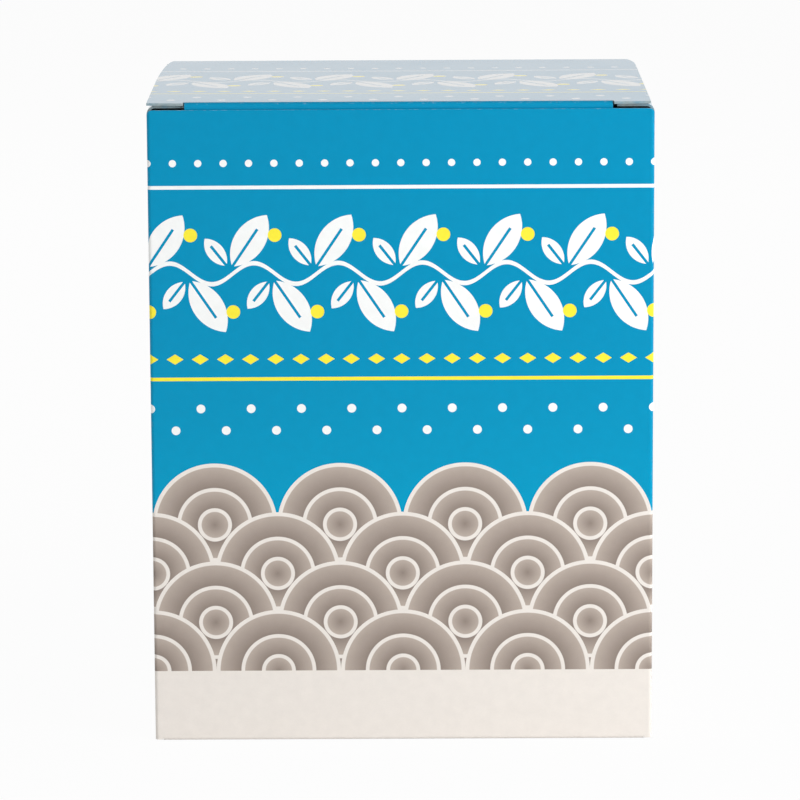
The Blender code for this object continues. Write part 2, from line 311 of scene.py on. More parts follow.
class CartonPrintSettings(bpy.types.PropertyGroup):
    """The printed face: inks, sizes and heights of the bands"""

    ground: colour("Ground", (0.0, 0.26, 0.465), "The ground colour of the upper half")
    # The paler ground at the base is painted light: it stands in for the floor's bounce brightening the
    # lower front
    painted_bounce_ground: colour("Low ground", (0.0, 0.38, 0.60), "The paler ground colour at the base")
    base: colour("Base", (0.79, 0.74, 0.69), "The pale base and the light rings")
    dark_ring: colour("Dark ring", (0.27, 0.22, 0.19), "The scallops' broad ring")
    light_ring: colour("Light ring", (0.46, 0.39, 0.34), "The scallops' inner ring")
    accent: colour("Accent", (0.90, 0.78, 0.05), "Berries, lozenges and the lower line")
    white: colour("White", (0.86, 0.87, 0.86), "Leaves, dots, and the board where it is not inked")
    base_height: distance("Base height", 18.0 * MM, "Height of the pale base")
    scallop_width: distance("Scallop width", 31.25 * MM, "Width of one scallop")
    scallop_rise: distance("Scallop rise", 12.5 * MM, "Height from one row of scallops to the next")
    garland_height: distance("Garland height", 119.0 * MM, "Height of the leaf garland's middle")
    garland_repeat: distance("Garland repeat", 125.0 / 6 * MM, "Length of one wave of the garland")
    bleed: distance("Bleed", 6.0 * MM, "How far the ink runs on past a crease onto a flap")


class CartonStageSettings(bpy.types.PropertyGroup):
    """Camera, floor and lamps"""

    camera_place: bpy.props.FloatVectorProperty(
        name="Camera place",
        description="Where the camera stands",
        default=(0.0019, -1.1862, 0.30125),
        size=3,
        subtype="TRANSLATION",
        unit="LENGTH",
    )
    camera_turn: bpy.props.FloatVectorProperty(
        name="Camera turn",
        description="Pitch down, roll and turn to the right of the camera",
        default=(math.radians(10.64), math.radians(-0.282), math.radians(-0.12)),
        size=3,
        subtype="EULER",
        unit="ROTATION",
    )
    lens: bpy.props.FloatProperty(
        name="Lens", description="Focal length in millimetres", default=210.06, unit="CAMERA"
    )
    key_power: bpy.props.FloatProperty(
        name="Key", description="Power of the softbox in front at the right", default=5.8, unit="POWER"
    )
    fill_power: bpy.props.FloatProperty(
        name="Fill", description="Power of the softbox in front at the left", default=2.2, unit="POWER"
    )
    back_power: bpy.props.FloatProperty(
        name="Back", description="Power of each softbox behind", default=4.0, unit="POWER"
    )
    room_light: share("Room light", 0.38, "Strength of the even light from all round")
    floor: colour("Floor", (0.80, 0.80, 0.80), "The floor's colour")


def cut_blank(corners):
    """A flat plate of board from (x, y) or (x, y, radius) corners, its printed side up at 0.

    Its faces get the board's three surfaces: 0 the printed one, 1 the inside, 2 the cut edge.
    """
    edit = bmesh.new()
    rim = [edit.verts.new((corner[0], corner[1], 0.0)) for corner in corners]
    edit.faces.new(rim)
    for radius in sorted({corner[2] for corner in corners if len(corner) > 2}):
        bmesh.ops.bevel(
            edit,
            geom=[v for v, corner in zip(rim, corners) if len(corner) > 2 and corner[2] == radius],
            offset=radius,
            segments=CORNER_STEPS,
            profile=0.5,
            affect="VERTICES",
            material=-1,
        )
    bmesh.ops.inset_region(
        edit, faces=edit.faces[:], thickness=WORN_RIM, use_boundary=True, use_even_offset=True
    )
    worn = edit.verts.layers.float.new(WORN)
    for vertex in edit.verts:
        vertex[worn] = 1.0 if vertex.is_boundary else 0.0
    lower = bmesh.ops.extrude_face_region(edit, geom=edit.faces[:])["geom"]
    lower = [item for item in lower if isinstance(item, bmesh.types.BMVert)]
    bmesh.ops.translate(edit, vec=(0.0, 0.0, -BOARD), verts=lower)
    bmesh.ops.recalc_face_normals(edit, faces=edit.faces)
    for face in edit.faces:
        face.material_index = 2 if abs(face.normal.z) < 0.5 else int(face.normal.z < 0.0)
    return edit


def mirrored(half_outline):
    """A symmetrical outline, from its right half."""
    left = [(-corner[0], *corner[1:]) for corner in reversed(half_outline)]
    return list(half_outline) + left


def score(edit, direction, places):
    """Cuts the blank along lines across the direction, so that it can bend there."""
    for place in places:
        bmesh.ops.bisect_plane(
            edit,
            geom=edit.verts[:] + edit.edges[:] + edit.faces[:],
            dist=SAME_PLACE,
            plane_co=direction * place,
            plane_no=direction,
        )


def score_cells(edit):
    """Cuts the blank into panel cells, so that its panels can sink a little."""
    for direction in (Vector((1.0, 0.0, 0.0)), Vector((0.0, 1.0, 0.0))):
        reach = [vertex.co.dot(direction) for vertex in edit.verts]
        count = int((max(reach) - min(reach)) / PANEL_CELL)
        step = (max(reach) - min(reach)) / (count + 1)
        score(edit, direction, [min(reach) + step * (i + 1) for i in range(count)])


class Crease:
    """A crease across a direction on the flat blank, which bends what lies beyond its start."""

    def __init__(self, direction, start, radius, turn=QUARTER_TURN):
        self.direction = Vector(direction)
        self.start = start
        self.radius = radius
        self.turn = turn
        self.length = radius * turn

    def lines(self):
        inside = [self.start + self.length * i / CREASE_STEPS for i in range(CREASE_STEPS + 1)]
        return [self.start - SUPPORT, *inside, self.start + self.length + SUPPORT]

    def roll(self, vertex, flat):
        """Moves a vertex round the crease. Returns how deep in the bend it lies, from 0 to 1."""
        past = min(max(flat.dot(self.direction) - self.start, 0.0), self.length)
        if past == 0.0:
            return 0.0
        hinge = self.direction * self.start - UP * self.radius
        turned = Matrix.Rotation(past / self.radius, 3, UP.cross(self.direction))
        vertex.co = hinge + turned @ (vertex.co - hinge - self.direction * past)
        return math.sin(math.pi * past / self.length)


def fold_blank(edit, creases, sink=0.0, panels=(), print_shift=0.0):
    """Gives the blank its map, sinks its panels, and rolls its creases, the farthest one first.

    print_shift says how high up the print the blank's y of 0 lies. Returns where each vertex lay on
    the flat blank.
    """
    for crease in creases:
        score(edit, crease.direction, crease.lines())
    if panels:
        score_cells(edit)
    board_map = edit.loops.layers.uv.new(BOARD_MAP)
    for face in edit.faces:
        for loop in face.loops:
            loop[board_map].uv = loop.vert.co.xy + Vector((0.0, print_shift))
    flat_places = {vertex: vertex.co.copy() for vertex in edit.verts}
    worn = edit.verts.layers.float[WORN]
    for vertex, flat in flat_places.items():
        vertex.co.z -= sink * max((dip(flat, *panel) for panel in panels), default=0.0)
    for crease in creases:
        for vertex, flat in flat_places.items():
            vertex[worn] = max(vertex[worn], CREASE_WEAR * crease.roll(vertex, flat))
    return flat_places


def dip(flat, low_x, high_x, low_y, high_y):
    """1 in the middle of a panel and 0 at its edges and outside them."""
    across = (flat.x - low_x) / (high_x - low_x)
    along = (flat.y - low_y) / (high_y - low_y)
    if not (0.0 < across < 1.0 and 0.0 < along < 1.0):
        return 0.0
    return (4.0 * across * (1.0 - across)) * (4.0 * along * (1.0 - along))


def make_board(name, edit):
    """An object of the folded blank, with the board's three surfaces."""
    mesh = bpy.data.meshes.new(name)
    edit.to_mesh(mesh)
    edit.free()
    for material in (printed_face(), bare_face(), cut_edge()):
        mesh.materials.append(material)
    obj = bpy.data.objects.new(name, mesh)
    bpy.context.scene.collection.objects.link(obj)
    mesh.shade_smooth()
    mesh.set_sharp_from_angle(angle=SMOOTH_ANGLE)
    return obj


def upright(turn=0.0):
    """Stands a blank up as a wall: its y becomes height, and its printed side faces outwards."""
    return Matrix.Rotation(turn, 4, "Z") @ Matrix.Rotation(QUARTER_TURN, 4, "X")


def place(edit, matrix):
    bmesh.ops.transform(edit, matrix=matrix, verts=edit.verts)


def wall_ends(radius):
    """How far the front, right and left wall reach from the front wall's middle, laid flat."""
    front = HALF_WIDTH - radius
    right_end = front + radius * QUARTER_TURN + 2 * (HALF_DEPTH - radius)
    return front, right_end, right_end - BOARD - GLUE_LINE


def wall_outline(radius):
    """The four walls and the glue flap, laid flat round the front wall, counter-clockwise.

    The foot is higher where a bottom flap hangs on it, by the flap's crease.
    """
    crease_length = radius * QUARTER_TURN
    front, right_end, left_end = wall_ends(radius)
    right = front + crease_length
    back = right_end + crease_length
    back_end = back + 2 * front
    glue_root = left_end + crease_length
    glue_end = glue_root + GLUE_FLAP_WIDTH
    glue_head = BACK_TOP - GLUE_FLAP_HEAD
    half_crease = crease_length / 2
    front_root = ROOT_INSET - radius
    side_root = BOTTOM_SIDE_INSET - radius
    foot = []
    for start, end, root in (
        (-right_end, -right, side_root),
        (-front, front, front_root),
        (right, right_end, side_root),
        (back, back_end, front_root),
    ):
        foot.append((start + root - FLAP_GAP, radius - CORNER_DIP))
        foot.append((start + root, radius))
        foot.append((end - root, radius))
        foot.append((end - root + FLAP_GAP, radius - CORNER_DIP))
    return [
        (-glue_end, GLUE_FLAP_FOOT + GLUE_FLAP_TAPER),
        (-glue_root, GLUE_FLAP_FOOT),
        (-left_end, radius - CORNER_DIP),
        *foot,
        (back_end + SEAM_OVERLAP, radius - CORNER_DIP),
        (back_end + SEAM_OVERLAP, BACK_TOP),
        (back, BACK_TOP),
        (right_end + half_crease, CORNER_TOP),
        (right_end, SIDE_TOP),
        (right, SIDE_TOP),
        (front + half_crease, CORNER_TOP),
        (front, FRONT_TOP, half_crease / 2),
        (-front, FRONT_TOP, half_crease / 2),
        (-front - half_crease, CORNER_TOP),
        (-right, SIDE_TOP),
        (-left_end, SIDE_TOP),
        (-glue_root, glue_head),
        (-glue_end, glue_head - GLUE_FLAP_TAPER),
    ]


class CARTON_OT_walls(bpy.types.Operator):
    """Fold the four walls and glue their seam at the back left corner"""

    bl_idname = "carton.walls"
    bl_label = "Walls"

    def execute(self, context):
        board = context.scene.carton_board
        radius = board.crease_radius
        arc = radius * QUARTER_TURN
        front, right_end, left_end = wall_ends(radius)
        edit = cut_blank(wall_outline(radius))
        creases = [
            Crease((1, 0, 0), right_end, radius),
            Crease((1, 0, 0), front, radius),
            Crease((-1, 0, 0), left_end, radius),
            Crease((-1, 0, 0), front, radius),
        ]
        panels = [
            (-front, front, radius, FRONT_TOP),
            (front + arc, right_end, radius, SIDE_TOP),
            (right_end + arc, right_end + arc + 2 * front, radius, BACK_TOP),
            (-left_end, -front - arc, radius, SIDE_TOP),
        ]
        fold_blank(edit, creases, board.sink, panels)
        place(edit, Matrix.Translation((0.0, -HALF_DEPTH, 0.0)) @ upright())
        walls = make_board("walls", edit)
        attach(walls, "carton")
        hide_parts("sleeve")
        return {"FINISHED"}


def lid_side(crease, ease_width, ease_depth):
    """The lid's right side on the flat blank, from its slit round its lip and on to the hinge."""
    slit = LID_HIGH.x - LIP_LENGTH
    corners = [
        (slit, tuck_fold_start(crease.radius)),
        (slit, LID_LOW.y),
        (LID_HIGH.x, LID_LOW.y),
    ]
    for step in range(CORNER_STEPS + 1):
        angle = QUARTER_TURN * step / CORNER_STEPS
        inset = ease_width * (1.0 - math.cos(angle))
        ahead = ease_depth * (1.0 - math.sin(angle))
        corners.append((LID_HIGH.x - inset, crease.start - ahead))
    corners.append((LID_HIGH.x - ease_width, crease.start + crease.length))
    return corners


class CARTON_OT_lid(bpy.types.Operator):
    """Cut the lid with its two lips and fold it onto the back wall"""

    bl_idname = "carton.lid"
    bl_label = "Lid"

    def execute(self, context):
        board = context.scene.carton_board
        radius = board.crease_radius
        crease = Crease((0, 1, 0), HALF_DEPTH - radius, radius)
        right = lid_side(crease, *RIGHT_EASE)
        left = [(-x, y) for x, y in lid_side(crease, *LEFT_EASE)]
        edit = cut_blank(right + left[::-1])
        bend_start = LID_LOW.y + LIP_BEND_DEPTH
        panel = (-LID_HIGH.x, LID_HIGH.x, bend_start, crease.start)
        print_shift = context.scene.carton_print.garland_height + LID_PRINT_SHIFT
        fold_blank(edit, [crease], board.sink, [panel], print_shift)
        for vertex in edit.verts:
            bent = max((bend_start - vertex.co.y) / LIP_BEND_DEPTH, 0.0)
            near_slit = min(max((LID_HIGH.x - abs(vertex.co.x)) / LIP_LENGTH, 0.0), 1.0)
            droop = LIP_END_DROOP + (1.0 - LIP_END_DROOP) * near_slit
            vertex.co.z -= board.lip_droop * droop * bent**2
        place(edit, Matrix.Translation((LID_SHIFT, 0.0, LID_TOP)))
        lid = make_board("lid_panel", edit)
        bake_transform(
            lid,
            "carton",
            "lid",
            start=(0.0, HALF_DEPTH, LID_TOP - radius),
            end=(0.0, HALF_DEPTH - radius, LID_TOP),
        )
        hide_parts("lid")
        return {"FINISHED"}


def tuck_fold_start(radius):
    """Where the lid's front crease starts, so that the tuck flap hangs where the part has it."""
    return TUCK_LOW.y - TUCK_FORWARD + radius * math.sin(QUARTER_TURN + TUCK_LEAN)


def map_bleed(edit, along, inwards, crease_at):
    """Maps a flap so that the top of the print runs on over its crease, and ends past it."""
    board_map = edit.loops.layers.uv[BOARD_MAP]
    for face in edit.faces:
        for loop in face.loops:
            flat = loop[board_map].uv.copy()
            past_crease = flat.dot(inwards) + crease_at
            loop[board_map].uv = (flat.dot(along), BACK_TOP + past_crease)


class CARTON_OT_tuck_flap(bpy.types.Operator):
    """Fold the tuck flap down behind the front wall from the lid's front crease"""

    bl_idname = "carton.tuck_flap"
    bl_label = "Tuck flap"

    def execute(self, context):
        radius = context.scene.carton_board.crease_radius
        start = tuck_fold_start(radius)
        crease = Crease((0, -1, 0), -start, radius, QUARTER_TURN + TUCK_LEAN)
        neck = LID_HIGH.x - LIP_LENGTH - SLIT_GAP
        wing = TUCK_HIGH.x
        root = start - crease.length + radius
        outline = mirrored(
            [
                (wing - TUCK_TAPER, root - TUCK_LENGTH, TUCK_CORNER),
                (wing, root - TUCK_RELIEF),
                (neck, root - TUCK_RELIEF),
                (neck, start),
            ]
        )
        edit = cut_blank(outline)
        fold_blank(edit, [crease])
        map_bleed(edit, Vector((1.0, 0.0)), Vector((0.0, -1.0)), start)
        place(edit, Matrix.Translation((LID_SHIFT, 0.0, LID_TOP)))
        flap = make_board("tuck_panel", edit)
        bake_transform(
            flap,
            "lid",
            "tuck_flap",
            start=(0.0, start, LID_TOP),
            end=(0.0, start - radius, LID_TOP - radius),
        )
        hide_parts("tuck_flap")
        return {"FINISHED"}


class CARTON_OT_dust_flaps(bpy.types.Operator):
    """Fold a dust flap in from the top of each side wall"""

    bl_idname = "carton.dust_flaps"
    bl_label = "Dust flaps"

    def execute(self, context):
        radius = DUST_RADIUS
        root = HALF_WIDTH - radius
        tip = DUST_LOW.x
        set_back = DUST_LOW.y + SHOULDER_STEP
        front = DUST_LOW.y - SHOULDER_FORWARD
        shoulder = LID_HIGH.x - LIP_LENGTH + SLIT_GAP
        back_tip = DUST_HIGH.y - DUST_BACK_SLOPE * (HALF_WIDTH - tip)
        for side, hand in ((-1, "left"), (1, "right")):
            crease = Crease((side, 0, 0), root, radius)
            end = root + crease.length
            outline = [
                (end, front),
                (shoulder, front),
                (shoulder, DUST_LOW.y),
                (shoulder - SHOULDER_STEP / 2, set_back),
                (tip, set_back + DUST_FRONT_TAPER, DUST_CORNER),
                (tip, back_tip, DUST_CORNER),
                (end, DUST_HIGH.y),
            ]
            edit = cut_blank([(side * corner[0], *corner[1:]) for corner in outline])
            fold_blank(edit, [crease])
            map_bleed(edit, Vector((0.0, 1.0)), Vector((-side, 0.0)), end)
            place(edit, Matrix.Translation((0.0, 0.0, DUST_TOP)))
            flap = make_board(f"dust_panel_{hand}", edit)
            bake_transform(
                flap,
                "carton",
                f"dust_flap_{hand}",
                start=(side * HALF_WIDTH, 0.0, DUST_TOP - radius),
                end=(side * root, 0.0, DUST_TOP),
            )
            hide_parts(f"dust_flap_{hand}")
        return {"FINISHED"}


class CARTON_OT_bottom_flaps(bpy.types.Operator):
    """Fold the four hooked bottom flaps, each on its own level, with the front tongue on top"""

    bl_idname = "carton.bottom_flaps"
    bl_label = "Bottom flaps"

    def execute(self, context):
        radius = context.scene.carton_board.crease_radius
        side_root = HALF_DEPTH - BOTTOM_SIDE_INSET
        hook_tip = HALF_WIDTH - radius - BOTTOM_SIDE_LOW.x
        notch = HALF_WIDTH - radius - NOTCH_HALF
        for side, hand in ((-1, "left"), (1, "right")):
            outline = [
                (-side_root, -radius),
                (-side_root, ROOT_RAMP),
                (-HALF_DEPTH / 2, hook_tip, BOTTOM_CORNER),
                (-HOOK_NECK, hook_tip, BOTTOM_CORNER),
                (0.0, notch),
                (HALF_DEPTH / 2, notch, BOTTOM_CORNER),
                (side_root, ROOT_RAMP),
                (side_root, -radius),
            ]
            outline = [(side * corner[0], *corner[1:]) for corner in outline]
            turn = side * QUARTER_TURN
            self.fold(context, hand, outline, turn, HALF_WIDTH, (0.0, ROOT_RAMP, LEVEL))
        inner = HALF_WIDTH - BOTTOM_SIDE_INSET
        root = HALF_WIDTH - ROOT_INSET
        slant = root - inner
        middle = HALF_DEPTH - radius
        reach = middle + BOTTOM_FRONT_HIGH.y
        front = mirrored(
            [
                (root, -radius),
                (root, 0.0),
                (inner, slant),
                (inner, middle - TONGUE_SHOULDER, BOTTOM_CORNER),
                (TONGUE_HALF, middle),
                (TONGUE_HALF, reach, TONGUE_CORNER),
            ]
        )
        climb = (middle, middle + NOTCH_REACH - LEVEL + BOARD, 3 * LEVEL)
        self.fold(context, "front", front, 0.0, HALF_DEPTH, climb)
        ear = middle - BOTTOM_BACK_LOW.y
        back = mirrored(
            [
                (root, -radius),
                (root, 0.0),
                (inner, ROOT_RAMP),
                (inner, ear - BOTTOM_CORNER, BOTTOM_CORNER),
                (NOTCH_HALF, ear, BOTTOM_CORNER),
                (NOTCH_HALF, middle - NOTCH_REACH),
            ]
        )
        self.fold(context, "back", back, math.pi, HALF_DEPTH, (0.0, ROOT_RAMP, 2 * LEVEL))
        return {"FINISHED"}

    def fold(self, context, where, outline, turn, half, climb):
        """Folds a flap, given by (along, depth) corners, under the wall turned that way.

        climb says from which depth to which other depth the flap rises, and how far.
        """
        radius = context.scene.carton_board.crease_radius
        crease = Crease((0, -1, 0), -radius, radius)
        level = radius - crease.length
        corners = []
        for corner in outline:
            height = radius if corner[1] < 0.0 else level - corner[1]
            corners.append((corner[0], height, *corner[2:]))
        edit = cut_blank(corners)
        start, end, rise = climb
        down = Vector((0.0, -1.0, 0.0))
        score(edit, down, [start - level, end - level])
        flat_places = fold_blank(edit, [crease])
        matrix = Matrix.Rotation(turn, 4, "Z") @ Matrix.Translation((0.0, -half, 0.0)) @ upright()
        place(edit, matrix)
        for vertex, flat in flat_places.items():
            depth = level - flat.y
            vertex.co.z += rise * min(max((depth - start) / (end - start), 0.0), 1.0)
        flap = make_board(f"bottom_panel_{where}", edit)
        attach(flap, "carton")
        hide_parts(f"bottom_flap_{where}")


def calc(tree, operation, *values):
    """A Math node's result. Each value is a number or a socket."""
    node = tree.nodes.new("ShaderNodeMath")
    node.operation = operation
    for socket, value in zip(node.inputs, values):
        feed(tree, socket, value)
    return node.outputs[0]


def feed(tree, socket, value):
    if isinstance(value, bpy.types.NodeSocket):
        tree.links.new(value, socket)
    else:
        socket.default_value = value


def blend_colour(tree, factor, first, second):
    """A colour between two. A Mix node has its colours as inputs 6 and 7 and puts one out as 2."""
    node = tree.nodes.new("ShaderNodeMix")
    node.data_type = "RGBA"
    for index, value in ((0, factor), (6, first), (7, second)):
        feed(tree, node.inputs[index], value)
    return node.outputs[2]


def scaled(tree, vector, factor):
    """A vector or a colour with each of its parts times a factor."""
    node = tree.nodes.new("ShaderNodeVectorMath")
    node.operation = "SCALE"
    tree.links.new(vector, node.inputs[0])
    feed(tree, node.inputs["Scale"], factor)
    return node.outputs[0]


def opaque(rgb):
    return (*rgb, 1.0)


def new_group(name, inputs, outputs):
    """A shader node group with named sockets, and its input and output nodes."""
    tree = bpy.data.node_groups.new(name, "ShaderNodeTree")
    for socket_name, kind, default in inputs:
        socket = tree.interface.new_socket(name=socket_name, in_out="INPUT", socket_type=kind)
        socket.default_value = default
    for socket_name, kind in outputs:
        tree.interface.new_socket(name=socket_name, in_out="OUTPUT", socket_type=kind)
    return tree, tree.nodes.new("NodeGroupInput"), tree.nodes.new("NodeGroupOutput")


def use_group(tree, group, **values):
    """Places a group in a tree, with its inputs fed by name."""
    node = tree.nodes.new("ShaderNodeGroup")
    node.node_tree = group
    for name, value in values.items():
        feed(tree, node.inputs[name], value)
    return node


def add_noise(tree, vector, scale, detail, roughness):
    node = tree.nodes.new("ShaderNodeTexNoise")
    node.inputs["Scale"].default_value = scale
    node.inputs["Detail"].default_value = detail
    node.inputs["Roughness"].default_value = roughness
    tree.links.new(vector, node.inputs["Vector"])
    return node.outputs["Fac"]


def rescale(tree, value, from_low, from_high, to_low, to_high):
    node = tree.nodes.new("ShaderNodeMapRange")
    for socket, number in zip(node.inputs, (value, from_low, from_high, to_low, to_high)):
        feed(tree, socket, number)
    return node.outputs[0]


def repeat(tree, value, length):
    """The distance from the middle of each repeat, from minus to plus half its length."""
    return calc(tree, "WRAP", value, length / 2, -length / 2)


def product_sum(tree, first, first_factor, second, second_factor):
    """first * first_factor + second * second_factor."""
    first_part = calc(tree, "MULTIPLY", first, first_factor)
    return calc(tree, "ADD", first_part, calc(tree, "MULTIPLY", second, second_factor))


def length_of(tree, x, y):
    return calc(tree, "SQRT", product_sum(tree, x, x, y, y))


def leaf_mask(tree, x, y, length, width, lean):
    """A pointed leaf with a fine vein, leaning to the right of the y axis."""
    across = product_sum(tree, x, math.cos(lean), y, -math.sin(lean))
    along = product_sum(tree, x, math.sin(lean), y, math.cos(lean))
    half_length = length / 2
    half_width = width / 2
    radius = (half_length**2 + half_width**2) / (2 * half_width)
    across = calc(tree, "ABSOLUTE", across)
    from_centre = length_of(tree, calc(tree, "ADD", across, radius - half_width), along)
    inside = calc(tree, "LESS_THAN", from_centre, radius)
    beside_vein = calc(tree, "GREATER_THAN", across, VEIN_HALF)
    past_vein = calc(tree, "GREATER_THAN", along, half_length * VEIN_END)
    return calc(tree, "MULTIPLY", inside, calc(tree, "MAXIMUM", beside_vein, past_vein))


def disc_mask(tree, x, y, radius):
    return calc(tree, "LESS_THAN", length_of(tree, x, y), radius)


def lozenge_mask(tree, x, y, half_width, half_height):
    reach = calc(
        tree,
        "ADD",
        calc(tree, "DIVIDE", calc(tree, "ABSOLUTE", x), half_width),
        calc(tree, "DIVIDE", calc(tree, "ABSOLUTE", y), half_height),
    )
    return calc(tree, "LESS_THAN", reach, 1.0)


def line_mask(tree, y, half_height):
    return calc(tree, "LESS_THAN", calc(tree, "ABSOLUTE", y), half_height)


def garland_group(inks):
    """A waving stem with two leaves and a berry in each bay, in millimetres from its own middle."""
    tree, source, result = new_group(
        "Leaf garland",
        [("Along", "NodeSocketFloat", 0.0), ("Above", "NodeSocketFloat", 0.0)],
        [("Leaves", "NodeSocketFloat"), ("Berries", "NodeSocketFloat")],
    )
    wave = inks.garland_repeat / MM
    along = source.outputs["Along"]
    above = source.outputs["Above"]
    swing = calc(tree, "SINE", calc(tree, "MULTIPLY", along, 2 * math.pi / wave))
    stem = calc(tree, "SUBTRACT", above, calc(tree, "MULTIPLY", swing, STEM_SWING))
    leaves = line_mask(tree, stem, STEM_HALF)
    berries = 0.0
    for shift, flip in ((0.0, 1.0), (wave / 2, -1.0)):
        x = repeat(tree, calc(tree, "ADD", along, shift), wave)
        y = calc(tree, "MULTIPLY", above, flip)
        for place_x, place_y, length, width, lean in BAY_LEAVES:
            from_x = calc(tree, "SUBTRACT", x, place_x)
            from_y = calc(tree, "SUBTRACT", y, place_y)
            leaf = leaf_mask(tree, from_x, from_y, length, width, lean)
            leaves = calc(tree, "MAXIMUM", leaves, leaf)
        from_bay_end = calc(tree, "SUBTRACT", calc(tree, "ABSOLUTE", x), wave / 2)
        from_berry = calc(tree, "SUBTRACT", y, BERRY_HEIGHT)
        berry = disc_mask(tree, from_bay_end, from_berry, BERRY_RADIUS)
        berries = calc(tree, "MAXIMUM", berries, berry)
    tree.links.new(leaves, result.inputs["Leaves"])
    tree.links.new(berries, result.inputs["Berries"])
    return tree


def scallop_group(inks):
    """One row of scallops with soft rings, in millimetres from the middle of a scallop."""
    tree, source, result = new_group(
        "Scallop row",
        [("Along", "NodeSocketFloat", 0.0), ("Above", "NodeSocketFloat", 0.0)],
        [("Colour", "NodeSocketColor"), ("Inside", "NodeSocketFloat")],
    )
    width = inks.scallop_width / MM
    across = repeat(tree, source.outputs["Along"], width)
    ring = calc(tree, "DIVIDE", length_of(tree, across, source.outputs["Above"]), width / 2)
    ramp = tree.nodes.new("ShaderNodeValToRGB")
    tree.links.new(ring, ramp.inputs["Fac"])
    stops = []
    ring_start = 0.0
    for ring_end, line_end in SCALLOP_RINGS:
        stops.append((ring_start, inks.dark_ring))
        stops.append((ring_end, inks.light_ring))
        stops.append((ring_end + RING_EDGE, inks.base))
        stops.append((line_end, inks.base))
        ring_start = line_end + RING_EDGE
    while len(ramp.color_ramp.elements) < len(stops):
        ramp.color_ramp.elements.new(1.0)
    for element, (position, rgb) in zip(ramp.color_ramp.elements, stops):
        element.position = position
        element.color = opaque(rgb)
    inside = calc(tree, "LESS_THAN", ring, 1.0)
    tree.links.new(ramp.outputs["Color"], result.inputs["Colour"])
    tree.links.new(inside, result.inputs["Inside"])
    return tree


def add_scallops(tree, inks, along, up, colour_here):
    """Lays the rows of scallops over a colour, the highest row first, and the base over them."""
    scallops = scallop_group(inks)
    for row in reversed(range(SCALLOP_ROWS)):
        height = (inks.base_height + row * inks.scallop_rise) / MM
        shift = inks.scallop_width / 2 / MM * (row % 2)
        node = use_group(
            tree,
            scallops,
            Along=calc(tree, "ADD", along, shift),
            Above=calc(tree, "SUBTRACT", up, height),
        )
        colour_here = blend_colour(tree, node.outputs["Inside"], colour_here, node.outputs["Colour"])
    in_base = calc(tree, "LESS_THAN", up, inks.base_height / MM)
    return blend_colour(tree, in_base, colour_here, opaque(inks.base))


def band_masks(tree, inks, along, above):
    """Where the bands are white and where yellow: the garland, the lines, the lozenges and dots."""
    garland = use_group(tree, garland_group(inks), Along=along, Above=above)
    line = line_mask(tree, calc(tree, "SUBTRACT", above, WHITE_LINE), LINE_HALF)
    whites = calc(tree, "MAXIMUM", garland.outputs["Leaves"], line)
    line = line_mask(tree, calc(tree, "SUBTRACT", above, ACCENT_LINE), LINE_HALF)
    yellows = calc(tree, "MAXIMUM", garland.outputs["Berries"], line)
    from_row = calc(tree, "SUBTRACT", above, LOZENGE_ROW)
    lozenges = lozenge_mask(tree, repeat(tree, along, SMALL_STEP), from_row, *LOZENGE_HALF)
    yellows = calc(tree, "MAXIMUM", yellows, lozenges)
    for height, shift, step, radius in DOT_ROWS:
        x = repeat(tree, calc(tree, "ADD", along, shift), step)
        dot = disc_mask(tree, x, calc(tree, "SUBTRACT", above, height), radius)
        whites = calc(tree, "MAXIMUM", whites, dot)
    return whites, yellows


def print_group(inks):
    """The whole print, from a place on the board in millimetres: across the walls, and up them."""
    tree, source, result = new_group(
        "Carton print",
        [("Along", "NodeSocketFloat", 0.0), ("Up", "NodeSocketFloat", 0.0)],
        [("Colour", "NodeSocketColor"), ("Ink", "NodeSocketFloat")],
    )
    along = source.outputs["Along"]
    up = source.outputs["Up"]
    middle = inks.garland_height / MM
    # The ground pales from the garland down to the base: painted light from the floor's bounce
    painted_bounce = rescale(tree, up, middle, inks.base_height / MM, 0.0, 1.0)
    painted_bounce = calc(tree, "MULTIPLY", painted_bounce, painted_bounce)
    colour_here = blend_colour(tree, painted_bounce, opaque(inks.ground), opaque(inks.painted_bounce_ground))
    colour_here = add_scallops(tree, inks, along, up, colour_here)
    whites, yellows = band_masks(tree, inks, along, calc(tree, "SUBTRACT", up, middle))
    colour_here = blend_colour(tree, whites, colour_here, opaque(inks.white))
    colour_here = blend_colour(tree, yellows, colour_here, opaque(inks.accent))
    bleed = inks.bleed / MM
    ink = calc(
        tree,
        "MULTIPLY",
        calc(tree, "LESS_THAN", up, BACK_TOP / MM + bleed),
        calc(tree, "GREATER_THAN", up, -bleed),
    )
    colour_here = blend_colour(tree, ink, opaque(inks.white), colour_here)
    tree.links.new(colour_here, result.inputs["Colour"])
    tree.links.new(ink, result.inputs["Ink"])
    return tree


def fibre_group():
    """Paper fibres: a height for the bump and a mottle for the colour, from a place in millimetres."""
    if "Paper fibres" in bpy.data.node_groups:
        return bpy.data.node_groups["Paper fibres"]
    tree, source, result = new_group(
        "Paper fibres",
        [("Place", "NodeSocketVector", (0.0, 0.0, 0.0))],
        [("Height", "NodeSocketFloat"), ("Mottle", "NodeSocketFloat")],
    )
    place_here = source.outputs["Place"]
    stretched = tree.nodes.new("ShaderNodeMapping")
    stretched.inputs["Scale"].default_value = FIBRE_STRETCH
    tree.links.new(place_here, stretched.inputs["Vector"])
    fine = add_noise(tree, stretched.outputs["Vector"], *FINE_FIBRES)
    coarse = add_noise(tree, place_here, *COARSE_FIBRES)
    height = product_sum(tree, fine, FINE_IN_RELIEF, coarse, 1.0 - FINE_IN_RELIEF)
    mottle = product_sum(tree, fine, FINE_IN_MOTTLE, coarse, 1.0 - FINE_IN_MOTTLE)
    tree.links.new(height, result.inputs["Height"])
    tree.links.new(mottle, result.inputs["Mottle"])
    return tree


